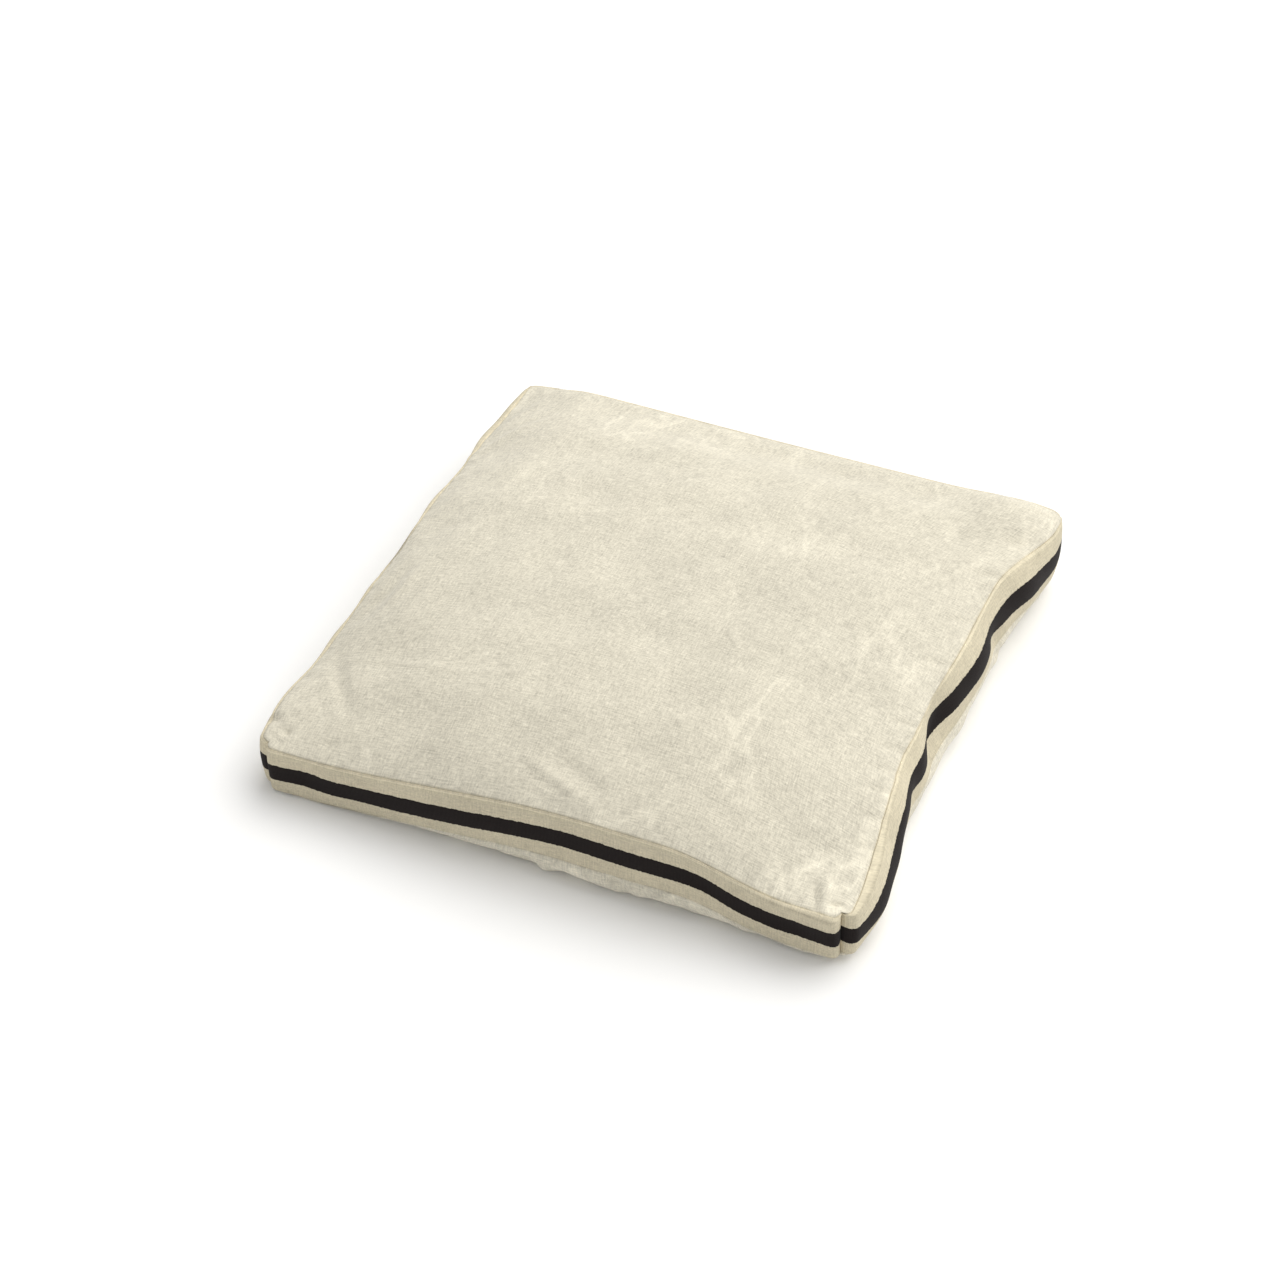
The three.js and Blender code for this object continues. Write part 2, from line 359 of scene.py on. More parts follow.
def cotton_material():
    """Tightly woven pad cotton with faint rumpling."""
    shader = Shader("pad_cotton")
    cloth = shader.cloth_place()
    place = shader.object_place()
    weave = plain_weave(shader, cloth, 0.6 * MM)
    rumple = shader.noise(place, 30.0, 4.0, 0.6)
    level = 0.86 + rumple * 0.14 + weave * 0.06
    return shader.finish(
        {"Sheen Weight": 0.15, "Sheen Roughness": 0.5, "Specular IOR Level": 0.25},
        Base_Color=shader.tint(colours().cotton, level),
        Roughness=0.8 + rumple * 0.12,
        Normal=shader.bump(weave * 0.3 + rumple * 2.0, 0.5, 0.5 * MM),
    )


def fibre_material():
    """White carded fibre with fine strands in all directions."""
    shader = Shader("loose_fibre")
    place = shader.object_place()
    strands = shader.noise(shader.stretch(place, 900.0, 60.0, 0.6), 1.0, 3.0, 0.7)
    crossed = shader.noise(shader.stretch(place, 70.0, 800.0, 0.3), 1.0, 3.0, 0.7)
    clumps = shader.noise(place, 45.0, 3.0, 0.5)
    height = (strands + crossed) * 0.5 + clumps
    return shader.finish(
        {"Sheen Weight": 0.4, "Sheen Roughness": 0.4, "Specular IOR Level": 0.2},
        Base_Color=shader.tint(colours().fibre, 0.84 + clumps * 0.12 + strands * 0.08),
        Roughness=0.88 + clumps * 0.1,
        Normal=shader.bump(height, 0.8, 0.8 * MM),
    )


def twill_material(name, colour, pitch, turn):
    """Narrow woven tape or ribbon with diagonal or straight wales."""
    shader = Shader(name)
    place = shader.object_place()
    across, _, up = shader.axes(place)
    slant = (across * math.cos(turn) + up * math.sin(turn)) * (2 * math.pi / pitch)
    wale = slant.sine() * 0.5 + 0.5
    speck = shader.noise(place, 900.0, 2.0, 0.6)
    return shader.finish(
        {"Sheen Weight": 0.1, "Sheen Roughness": 0.5, "Specular IOR Level": 0.3},
        Base_Color=shader.tint(colour, 0.78 + wale * 0.16 + speck * 0.14),
        Roughness=0.68 + speck * 0.2,
        Normal=shader.bump(wale + speck * 0.5, 0.6, 0.15 * MM),
    )


def nylon_material():
    """Smooth nylon monofilament, worn a little in random patches."""
    shader = Shader("nylon_coil")
    place = shader.object_place()
    rub = shader.noise(place, 700.0, 2.0, 0.5)
    return shader.finish(
        {"Coat Roughness": 0.25, "IOR": 1.53},
        Base_Color=shader.tint(colours().coil, 0.9 + rub * 0.14),
        Roughness=0.32 + rub * 0.2,
        Coat_Weight=0.15 + rub * 0.1,
        Normal=shader.bump(rub, 0.3, 0.05 * MM),
    )


def metal_material():
    """Tumbled nickel plate with fine scratches and duller patches where fingers rub."""
    shader = Shader("nickel_plate")
    place = shader.object_place()
    scratches = shader.noise(shader.stretch(place, 4000.0, 300.0, 0.4), 1.0, 2.0, 0.6)
    patches = shader.noise(place, 260.0, 3.0, 0.6)
    return shader.finish(
        {"Metallic": 1.0},
        Base_Color=shader.tint(colours().metal, 0.88 + patches * 0.16),
        Roughness=0.2 + patches * 0.2 + scratches * 0.12,
        Normal=shader.bump(scratches, 0.25, 0.03 * MM),
    )


def floor_material():
    """Pale matt studio floor with the faintest grain."""
    shader = Shader("studio_floor")
    grain = shader.noise(shader.object_place(), 30.0, 2.0)
    return shader.finish(
        {"Specular IOR Level": 0.0},
        Base_Color=shader.tint((0.97, 0.97, 0.965), 0.99 + grain * 0.01),
        Roughness=0.95 + grain * 0.04,
        Normal=shader.bump(grain, 0.02, MM),
    )


# ---- the cushion's form ----

TOP, BOTTOM, FRONT, RIGHT, BACK, LEFT = range(6)
PANEL_NAMES = ("cover_top", "cover_bottom", "cover_front", "cover_right", "cover_back", "cover_left")
PANEL_NODES = ("top_panel", "bottom_panel", "band_front", "band_right", "band_back", "band_left")

# the corners in turn: left, near, right and far
CORNER_HEIGHTS = (3 * MM, 10 * MM, 22 * MM, 16 * MM)  # of the lower seam above the floor
CORNER_TUCKS = (13 * MM, 15 * MM, 6 * MM, 4 * MM)  # how far the stitching draws each corner in


def on_top(flat):
    """Which places lie on the top panel or its seam."""
    return flat[:, 2] > sizes().band - TOUCH


def on_bottom(flat):
    """Which places lie on the bottom panel or its seam."""
    return flat[:, 2] < TOUCH


def ease(value, low, high):
    """0 below low, 1 above high, smooth between."""
    share = np.clip((value - low) / (high - low), 0, 1)
    return share * share * (3 - 2 * share)


class Side:
    """How one side's seams run, with t from -1 at its start to 1 at its end."""

    def __init__(self, lift, pull, lean, rise, fall):
        self.lift = lift  # how far its middle stands above the line between its corners
        self.pull = pull  # how far the middle of its upper seam pulls in
        self.lean = lean  # how much less its lower seam pulls in
        self.rise = rise  # where along t it leaves its start
        self.fall = fall  # where along t it comes down to its end

    def share(self, t):
        """How much of the lift and the pull is there at t."""
        return ease(t, *self.rise) * (1 - ease(t, *self.fall))


SIDES = (
    Side(26 * MM, 3 * MM, 0, (-0.85, 0.1), (0.38, 0.83)),
    Side(22 * MM, 23 * MM, 16 * MM, (-0.95, -0.3), (0.5, 0.95)),
    Side(0, 14 * MM, 0, (-1, -0.75), (0.75, 1)),  # its lower seam is level, at the zip's height
    Side(28 * MM, 9 * MM, 4 * MM, (-0.9, 0.0), (0.1, 0.72)),
)
BAND_BULGE = 4 * MM  # of the middle of a band between its seams
CROWN_FLAT = 0.08  # share of the half width over which the top is level
ZIP_FADE = 20 * MM  # over which the bottom panel comes forward again past the zip's end
BELLY_REACH = 23 * MM  # how far in from its seam the bottom panel comes to rest
BELLY_CLOTH = 47 * MM  # how much of its cloth goes round the curve down to there


def turned(flat, side):
    """Places as they are seen standing in front of a side: along it, and away from the viewer."""
    angle = side * math.pi / 2
    along = flat[:, 0] * math.cos(angle) + flat[:, 1] * math.sin(angle)
    away = flat[:, 1] * math.cos(angle) - flat[:, 0] * math.sin(angle)
    return along, away


def inward(side):
    """The direction from a side to the middle of the cushion."""
    angle = side * math.pi / 2
    return np.array([-math.sin(angle), math.cos(angle), 0.0])


def dome(s, flat):
    """1 over the flat middle, falling to 0 at the seam."""
    past = np.clip((np.abs(s) - flat) / (1 - flat), 0, 1)
    return np.power(1 - past ** 2.0, 0.75)


def belly_curl(s):
    """How far the bottom panel has come down at a place, from 0 to 1, and how far it moves outward."""
    half = sizes().side / 2
    gap = (1 - np.abs(s)) * half
    angle = math.pi / 2 * np.clip(gap / BELLY_CLOTH, 0, 1)
    resting = np.maximum(gap - BELLY_CLOTH, 0) * (half - BELLY_REACH) / (half - BELLY_CLOTH)
    moved = BELLY_REACH * (1 - np.cos(angle)) + resting
    return np.sin(angle), np.sign(s) * (gap - moved)


def settle(flat):
    """Where the points of the flat box of cloth lie once the cushion is stuffed and set down."""
    half = sizes().side / 2
    band = sizes().band
    u = flat[:, 0] / half
    v = flat[:, 1] / half
    place = flat.copy()
    left, near, right, far = CORNER_HEIGHTS
    front_line = left + (near - left) * (1 + u) / 2
    back_line = far + (right - far) * (1 + u) / 2
    seam = front_line + (back_line - front_line) * (1 + v) / 2
    height = flat[:, 2] / band
    for side, form in enumerate(SIDES):
        along, away = turned(flat, side)
        share = form.share(along / half) * (1 - away / half) / 2
        lift = ZIP_SEAM_HEIGHT - seam if side + FRONT == BACK else form.lift
        seam += lift * share
        place += np.outer((form.pull - form.lean * (1 - height)) * share, inward(side))
    is_bottom = on_bottom(flat)
    crown = dome(u, CROWN_FLAT) * dome(v, CROWN_FLAT)
    under_u, shift_u = belly_curl(u)
    under_v, shift_v = belly_curl(v)
    place[:, 0] += is_bottom * shift_u * under_v
    past_zip = ease(np.abs(flat[:, 0]), LOWER_TAPE_HIGH.x - ZIP_FADE, LOWER_TAPE_HIGH.x)
    curled = np.where(v < 0, 1, past_zip)  # the back slopes straight in below the zip
    place[:, 1] += is_bottom * shift_v * under_u * curled
    place[:, 2] = seam + flat[:, 2]
    place[:, 2] += on_top(flat) * (sizes().crown - seam - band) * crown
    place[:, 2] -= is_bottom * seam * under_u * under_v
    for side in range(4):
        along, away = turned(flat, side)
        on_band = away < -half + TOUCH
        bulge = BAND_BULGE * 4 * height * (1 - height) * (1 - np.abs(along / half) ** 6)
        place -= np.outer(on_band * bulge, inward(side))
    return place


def flat_box():
    """The cover as a flat-sided box of six cloth grids, with cloth places in metres."""
    side = sizes().side
    band = sizes().band
    across = round(side / sizes().cell)
    rows = round(band / sizes().cell)
    made = bmesh.new()
    made.loops.layers.uv.new("cloth")
    panel = made.faces.layers.int.new("panel")

    def grid(number, place, width, height, steps):
        bmesh.ops.create_grid(
            made,
            x_segments=across,
            y_segments=steps,
            size=0.5,
            matrix=place @ Matrix.Diagonal((width, height, 1, 1)),
            calc_uvs=True,
        )
        cloth = made.loops.layers.uv["cloth"]
        for face in made.faces:
            if face[panel] == 0 and not face.tag:
                face.tag = True
                face[panel] = number
                for loop in face.loops:
                    loop[cloth].uv = (loop[cloth].uv.x * width, loop[cloth].uv.y * height)

    grid(TOP, Matrix.Translation((0, 0, band)), side, side, across)
    grid(BOTTOM, Matrix.Rotation(math.pi, 4, "X"), side, side, across)
    for turn in range(4):
        stand = Matrix.Translation((0, -side / 2, band / 2)) @ Matrix.Rotation(math.pi / 2, 4, "X")
        place = Matrix.Rotation(turn * math.pi / 2, 4, "Z") @ stand
        grid(FRONT + turn, place, side, band, rows)
    bmesh.ops.remove_doubles(made, verts=made.verts, dist=0.01 * MM)
    flat = made.verts.layers.float_vector.new("flat")
    for vertex in made.verts:
        vertex[flat] = vertex.co
    return made


def points_of(mesh):
    """A mesh's points as rows of x, y, z."""
    points = np.zeros(len(mesh.vertices) * 3)
    mesh.vertices.foreach_get("co", points)
    return points.reshape(-1, 3)


def move_points(mesh, points):
    """Puts a mesh's points at new places."""
    mesh.vertices.foreach_set("co", points.ravel())
    mesh.update()


def normals_of(mesh):
    """The outward direction at each point of a mesh."""
    normals = np.zeros(len(mesh.vertices) * 3)
    mesh.vertex_normals.foreach_get("vector", normals)
    return normals.reshape(-1, 3)


def flat_places(mesh):
    """Where each point of a mesh was on the flat box."""
    flat = np.zeros(len(mesh.vertices) * 3)
    mesh.attributes["flat"].data.foreach_get("vector", flat)
    return flat.reshape(-1, 3)


ZIP_PIN_MARGIN = 12 * MM  # how far past the zip's ends the cloth is held still
ZIP_PIN_DEPTH = 40 * MM  # how far in from the back seam it is held still


def seam_weights(flat):
    """1 on every seam and round the zip's opening, 0 where the cloth is free."""
    half = sizes().side / 2
    band = sizes().band
    edge = 0.01 * MM
    on_x = np.abs(flat[:, 0]) > half - edge
    on_y = np.abs(flat[:, 1]) > half - edge
    on_z = (flat[:, 2] < edge) | (flat[:, 2] > band - edge)
    on_seam = on_x.astype(int) + on_y + on_z > 1
    zip_reach = LOWER_TAPE_HIGH.x + ZIP_PIN_MARGIN
    by_zip = (np.abs(flat[:, 0]) < zip_reach) & (flat[:, 1] > half - ZIP_PIN_DEPTH)
    by_zip &= flat[:, 2] < 0.3 * band
    return on_seam | by_zip


PUFF_FRAMES = 20
PUFF_LIMIT = 9 * MM


def puff(mesh):
    """Blows the cloth up from inside for a short while, pinned along its seams, as stuffing does."""
    scene = bpy.context.scene
    settled = points_of(mesh)
    flat = flat_places(mesh)
    piece = bpy.data.objects.new("stuffed_cloth", mesh)
    scene.collection.objects.link(piece)
    piece.shape_key_add(name="Basis")
    pattern = piece.shape_key_add(name="pattern")
    pattern.data.foreach_set("co", flat.ravel())
    pins = piece.vertex_groups.new(name="seams")
    pins.add(np.flatnonzero(seam_weights(flat)).tolist(), 1.0, "REPLACE")
    cloth = piece.modifiers.new("cloth", "CLOTH")
    settings = cloth.settings
    settings.quality = 5
    settings.mass = 0.3
    settings.tension_stiffness = 25
    settings.compression_stiffness = 12
    settings.shear_stiffness = 5
    settings.bending_stiffness = 1.5
    settings.use_pressure = True
    settings.uniform_pressure_force = 4
    settings.vertex_group_mass = "seams"
    settings.rest_shape_key = pattern
    settings.effector_weights.gravity = 0
    cloth.collision_settings.use_collision = False
    cloth.point_cache.frame_end = PUFF_FRAMES
    for step in range(1, PUFF_FRAMES + 1):
        scene.frame_set(step)
    swollen = piece.evaluated_get(bpy.context.evaluated_depsgraph_get()).data
    moved = points_of(swollen) - settled
    scene.frame_set(1)
    bpy.data.objects.remove(piece)
    length = np.linalg.norm(moved, axis=1, keepdims=True)
    capped = settled + moved * PUFF_LIMIT / (PUFF_LIMIT + length)
    capped[:, 2] = np.maximum(capped[:, 2], 0)
    return capped


def refined(mesh):
    """The same cloth with each cell cut in four and rounded."""
    piece = bpy.data.objects.new("refined_cloth", mesh)
    bpy.context.scene.collection.objects.link(piece)
    rounding = piece.modifiers.new("rounding", "SUBSURF")
    rounding.levels = 1
    rounding.render_levels = 1
    graph = bpy.context.evaluated_depsgraph_get()
    fine = bpy.data.meshes.new_from_object(piece.evaluated_get(graph), depsgraph=graph)
    bpy.data.objects.remove(piece)
    return fine


# ---- folds and dents, each placed one by one ----

def unrolled(flat, side):
    """Places on the cloth laid out flat round a side's band: along it, and up from its middle."""
    half = sizes().side / 2
    band = sizes().band
    along, away = turned(flat, side)
    depth = half + away
    past = np.abs(along) > half - TOUCH
    along = np.where(past, np.sign(along) * (half + depth), along)
    up = flat[:, 2] - band / 2
    up = np.where((on_top(flat) | on_bottom(flat)) & ~past, np.sign(up) * (band / 2 + depth), up)
    return along, up


def dent(flat, side, along, up, length, height, depth, slant=0.0):
    """How far a soft hollow, or with a negative depth a swelling, sinks each point."""
    here_along, here_up = unrolled(flat, side)
    run = here_along - along
    rise = here_up - up - slant * run
    return depth * np.exp(-(run / length) ** 2 - (rise / height) ** 2)


# side, along, up, length, height, depth and slant, in millimetres but for the slant
CLOTH_BUCKLES = (
    (RIGHT, -262, 0, 46, 44, -2, 0),
    (RIGHT, -258, -14, 32, 16, -3, 0),
    (RIGHT, -258, 18, 32, 14, 3, 0),
    (RIGHT, -202, -10, 30, 24, -6, 0.2),
    (RIGHT, -160, 8, 26, 26, -4, 0.2),
    (RIGHT, -120, -16, 14, 14, 4, 0.2),
    (RIGHT, -90, 6, 24, 28, -3, 0.3),
    (RIGHT, -48, -12, 18, 18, 6, 0.3),
    (RIGHT, -20, 0, 26, 30, 9, 0.2),
    (RIGHT, 66, 2, 36, 32, -4, 0),
    (RIGHT, 132, -14, 18, 16, 6, -0.3),
    (RIGHT, 212, 2, 38, 34, -8, 0),
    (RIGHT, 276, 0, 42, 40, -7, 0),
    (FRONT, -210, -6, 40, 26, 2.5, 0.1),
    (FRONT, -90, 0, 50, 30, -2, 0),
    (FRONT, 30, 4, 40, 24, 2, 0.1),
    (FRONT, 172, 0, 30, 26, 5, -0.1),
    (FRONT, 235, -2, 26, 26, 2, 0),
    (FRONT, 60, -46, 120, 22, -8, 0),
    (FRONT, 312, 26, 12, 9, -3, 0),
    (LEFT, -200, 0, 44, 34, -4, 0.2),
    (LEFT, -80, 0, 44, 30, -4, 0),
    (LEFT, 40, 0, 36, 30, 5, -0.2),
    (LEFT, 150, 0, 44, 30, -3, 0),
    (LEFT, 258, 8, 60, 44, -12, 0),
    (BACK, 30, 68, 190, 30, 6, 0),
    (BACK, -270, 4, 26, 26, 4, 0.2),
    (BACK, -282, 62, 46, 40, -13, 0),
    (BACK, 272, 4, 24, 26, 4, -0.2),
)


# ---- seams and corners ----

CORNER_ROLL = 17 * MM
TOP_TUCK_REACH = 44 * MM


def corner_tucks(flat):
    """How far, and which way, the four corners are drawn in between their pillowed band ends."""
    half = sizes().side / 2
    moved = np.zeros_like(flat)
    gap_x = half - np.abs(flat[:, 0])
    gap_y = half - np.abs(flat[:, 1])
    run = np.maximum(gap_x, gap_y)
    edge = np.minimum(gap_x, gap_y)
    roll = np.clip(1 - run / CORNER_ROLL, 0, 1)
    pillow = roll * roll
    soft = np.clip(1 - np.hypot(gap_x, gap_y) / TOP_TUCK_REACH, 0, 1) ** 2
    share = pillow + (soft - pillow) * ease(edge, 0, 9 * MM)
    left, near, right, far = CORNER_TUCKS
    front_tuck = np.where(flat[:, 0] < 0, left, near)
    back_tuck = np.where(flat[:, 0] < 0, far, right)
    tuck = share * np.where(flat[:, 1] < 0, front_tuck, back_tuck)
    moved[:, :2] = -np.sign(flat[:, :2]) / math.sqrt(2) * tuck[:, None]
    return moved


# start x, start y, end x, end y, width and rise of the top panel's folds, in millimetres
TOP_FOLDS = (
    (-325, 160, -262, 243, 7, 2.6),
    (-318, 180, -262, 262, 9, -2.4),
    (-318, 205, -288, 292, 6, 2.2),
    (-304, -135, -290, -62, 10, -3.4),
    (-286, -128, -270, -50, 8, 1.8),
    (-302, -195, -245, -268, 9, -3),
    (-301, -280, -290, -255, 15, 3),
    (-306, -302, -299, -301, 5, -4),
    (-256, -305, -246, -304, 7, -2.4),
    (-324, -290, -318, -286, 5, -4),
    (-283, -195, -148, -197, 4, 0.9),
    (-148, -197, -30, -175, 4, 0.8),
    (-36, -278, 45, -311, 7, 2.6),
    (-20, -262, 60, -296, 9, -2.4),
    (-37, -299, 42, -317, 4, 1.2),
    (150, -262, 184, -274, 13, -2.6),
    (250, -262, 306, -256, 12, -3),
    (302, -322, 285, -282, 6, 3.4),
    (292, -323, 281, -296, 3.5, -2.6),
    (303, -313, 319, -311, 3, -2.6),
    (95, -47, 128, -82, 3.5, 1.1),
    (113, -66, 120, -98, 3.5, 0.9),
    (75, -182, 108, -192, 3.5, 0.9),
    (10, -30, 34, -2, 4, 0.9),
    (303, 232, 312, 252, 12, -3.4),
    (320, 317, 283, 298, 5, 1.8),
    (320, 317, 298, 262, 5, 1.8),
    (-152, 55, -122, 108, 6, 0.9),
)
GATHER_RUN = (26 * MM, 8 * MM)
GATHER_WIDTH = 5.5 * MM
GATHER_DEPTH = 1.9 * MM
# where, along the right seam, the stitching gathers the top panel, in millimetres
SEAM_GATHERS = (-232, -196, -164, -137, -108, -70, 28, 96, 178)


def fold(places, start, end, width, rise):
    """How far a fold from start to end raises places on a flat panel, tapering to its ends."""
    run = end - start
    share = np.clip((places - start) @ run / (run @ run), 0, 1)
    gap = np.linalg.norm(places - start - np.outer(share, run), axis=1)
    taper = 1 - 0.6 * (2 * share - 1) ** 2
    return rise * taper * np.exp(-(gap / width) ** 2)


def top_folds(flat):
    """The creases and hollows of the top panel, in metres."""
    raised = np.zeros(len(flat))
    top = on_top(flat)
    places = flat[top, :2]
    for numbers in TOP_FOLDS:
        x1, y1, x2, y2, width, rise = (number * MM for number in numbers)
        raised[top] += fold(places, np.array([x1, y1]), np.array([x2, y2]), width, rise)
    edge = sizes().side / 2
    for along in SEAM_GATHERS:
        start = np.array([edge, along * MM])
        raised[top] += fold(places, start, start - GATHER_RUN, GATHER_WIDTH, -GATHER_DEPTH)
    return raised


UNDULATIONS = 9
UNDULATION_RISE = 0.45 * MM
RUMPLES_PER_SIDE = 64
RUMPLE_BELT = 90 * MM  # how far in from a seam the rumples reach
WAVES_PER_SEAM = 9
WAVE_RISE = 0.16 * MM


def undulation(flat):
    """The slow unevenness of a stuffed top panel, in metres."""
    chance = random.Random(11)
    half = sizes().side / 2
    raised = np.zeros(len(flat))
    for _ in range(UNDULATIONS):
        length = chance.uniform(70, 190) * MM
        heading = chance.uniform(0, math.pi)
        phase = chance.uniform(0, 2 * math.pi)
        run = flat[:, 0] * math.cos(heading) + flat[:, 1] * math.sin(heading)
        raised += UNDULATION_RISE * np.sin(run * 2 * math.pi / length + phase)
    inner = 1 - ease(np.max(np.abs(flat[:, :2]), axis=1), half - 30 * MM, half)
    return raised * inner * on_top(flat)


def rumples(flat):
    """Short crossing folds of the bottom panel's slack cloth beside each lower seam, in metres."""
    chance = random.Random(5)
    half = sizes().side / 2
    seam = -sizes().band / 2
    raised = np.zeros(len(flat))
    for side in range(4):
        along, up = unrolled(flat, side)
        near = (up < seam + TOUCH) & (up > seam - RUMPLE_BELT) & (np.abs(along) < half)
        places = np.stack([along[near], up[near]], axis=1)
        for _ in range(RUMPLES_PER_SIDE):
            middle = np.array([chance.uniform(-half, half), seam - chance.uniform(3, 55) * MM])
            turn = chance.uniform(-0.75, 0.75)
            reach = np.array([math.cos(turn), math.sin(turn)]) * chance.uniform(7, 24) * MM
            width = chance.uniform(3.5, 7.5) * MM
            rise = chance.uniform(-5.5, 4.5) * MM
            raised[near] += fold(places, middle - reach, middle + reach, width, rise)
        smooth = 12 * MM if side + FRONT == BACK else 0  # below the zip
        raised[near] *= ease(seam - up[near], smooth, smooth + 5 * MM)
    return raised


def gathers(flat):
    """Small waves that the stitching draws into the top panel beside each seam, in metres."""
    chance = random.Random(7)
    half = sizes().side / 2
    seam = sizes().band / 2
    raised = np.zeros(len(flat))
    for side in range(4):
        along, up = unrolled(flat, side)
        gap = np.abs(up - seam)
        share = ease(up, seam - 0.01 * MM, seam + 2 * MM) * np.exp(-gap / (16 * MM))
        share *= 1 - ease(np.abs(along), half - 30 * MM, half)
        for _ in range(WAVES_PER_SEAM):
            length = chance.uniform(16, 42) * MM
            phase = chance.uniform(0, 2 * math.pi)
            lean = chance.uniform(-0.8, 0.8)
            angle = (along + lean * gap) * 2 * math.pi / length + phase
            raised += WAVE_RISE * share * np.sin(angle)
    return raised


def sculpt(mesh):
    """Tucks the corners and presses the folds, dents and gathers into the refined cloth."""
    flat = flat_places(mesh)
    points = points_of(mesh)
    normals = normals_of(mesh)
    raised = top_folds(flat) + undulation(flat) + rumples(flat) + gathers(flat)
    for side, *numbers, slant in CLOTH_BUCKLES:
        along, up, length, height, depth = (number * MM for number in numbers)
        raised -= dent(flat, side - FRONT, along, up, length, height, depth, slant)
    points = points + corner_tucks(flat) + normals * raised[:, None]
    points[:, 2] = np.maximum(points[:, 2], 0)
    move_points(mesh, points)


def stuffed_form():
    """The whole cover as one closed cloth, settled, puffed, refined and sculpted."""
    found = bpy.data.meshes.get("stuffed_form")
    if found:
        return found
    coarse = bpy.data.meshes.new("cloth_box")
    box = flat_box()
    box.to_mesh(coarse)
    box.free()
    move_points(coarse, settle(flat_places(coarse)))
    swollen = puff(coarse.copy())
    move_points(coarse, swollen)
    form = refined(coarse)
    form.name = "stuffed_form"
    sculpt(form)
    keep_normals(form)
    return form


def keep_normals(mesh):
    """Stores each point's outward direction, so that panels cut apart still know it."""
    attribute = mesh.attributes.new("outward", "FLOAT_VECTOR", "POINT")
    attribute.data.foreach_set("vector", normals_of(mesh).ravel())


# ---- pieces ----

def finished(name, mesh, material, body):
    """A mesh as a smooth-shaded piece that rides on its body."""
    mesh.name = name
    mesh.materials.clear()
    mesh.materials.append(material)
    for polygon in mesh.polygons:
        polygon.use_smooth = True
    piece = bpy.data.objects.new(name, mesh)
    bpy.context.scene.collection.objects.link(piece)
    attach(piece, body)
    return piece


SEAM_ROLL = 1.1 * MM
SEAM_DEPTH = 1.3 * MM
EDGE_RISE = 0.9 * MM  # of the bands' upper edges, which stand proud of the top panel
SEAM_ALLOWANCE = 7 * MM
CLOTH_THICKNESS = 0.7 * MM
WINDOW_DEPTH = 12.5 * MM  # how much of the bottom panel the zip's opening takes up, from the seam
WINDOW_ALLOWANCE = 15 * MM
WINDOW_MARGIN = 4 * MM


def in_zip_window(place, margin=0.0):
    """Whether a place on the flat cloth lies where the zip's opening is, or within a margin of it."""
    reach = sizes().side / 2 - WINDOW_DEPTH - margin
    return abs(place.x) < LOWER_TAPE_HIGH.x - 12 * MM + margin and place.y > reach


def on_window_edge(place):
    """Whether a place on the flat cloth lies by the lower edge of the zip's opening."""
    is_below = place.y < sizes().side / 2 - WINDOW_DEPTH + WINDOW_MARGIN
    return is_below and in_zip_window(place, WINDOW_MARGIN)


def cut_panel(form, number):
    """One panel of the cover, with rolled seam edges and turned-in allowances."""
    made = bmesh.new()
    made.from_mesh(form)
    panel = made.faces.layers.int["panel"]
    flat = made.verts.layers.float_vector["flat"]
    others = [face for face in made.faces if face[panel] != number]
    bmesh.ops.delete(made, geom=others, context="FACES")
    if number == BOTTOM:
        window = [
            face for face in made.faces if all(in_zip_window(corner[flat]) for corner in face.verts)
        ]
        bmesh.ops.delete(made, geom=window, context="FACES")
    outward = made.verts.layers.float_vector["outward"]
    bmesh.ops.inset_region(
        made,
        faces=made.faces[:],
        thickness=SEAM_ROLL,
        use_boundary=True,
        use_even_offset=True,
    )
    rim = [vertex for vertex in made.verts if vertex.is_boundary]
    upper = sizes().band - 2 * MM
    for vertex in rim:
        is_proud = number >= FRONT and vertex[flat].z > upper
        vertex.co += vertex[outward] * (EDGE_RISE if is_proud else -SEAM_DEPTH)
    edges = [edge for edge in made.edges if edge.is_boundary]
    turned_in = bmesh.ops.extrude_edge_only(made, edges=edges)["geom"]
    for vertex in turned_in:
        if isinstance(vertex, bmesh.types.BMVert):
            by_zip = number == BOTTOM and on_window_edge(vertex[flat])
            vertex.co -= vertex[outward] * (WINDOW_ALLOWANCE if by_zip else SEAM_ALLOWANCE)
    bmesh.ops.recalc_face_normals(made, faces=made.faces)
    widest = max(made.faces, key=lambda face: face.calc_area())
    if widest.normal.dot(widest.verts[0][outward]) < 0:
        bmesh.ops.reverse_faces(made, faces=made.faces)
    mesh = bpy.data.meshes.new(PANEL_NAMES[number])
    made.to_mesh(mesh)
    made.free()
    return mesh


def thicken(piece, thickness):
    """Gives a sheet its thickness, on the side behind its faces."""
    wall = piece.modifiers.new("thickness", "SOLIDIFY")
    wall.thickness = thickness
    wall.offset = -1
    return piece


def make_cover():
    """The six panels of the linen cover."""
    form = stuffed_form()
    linen = linen_material()
    band = band_material()
    for number, name in enumerate(PANEL_NAMES):
        is_face = number in (TOP, BOTTOM)
        material = linen if is_face else band
        piece = finished(name, cut_panel(form, number), material, "cushion")
        thicken(piece, CLOTH_THICKNESS)
        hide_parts(PANEL_NODES[number])


# ---- pad and filling ----

PAD_SIDE_INSET = 11.5 * MM
PAD_FACE_INSET = 4.5 * MM
FILL_INSET = 4 * MM


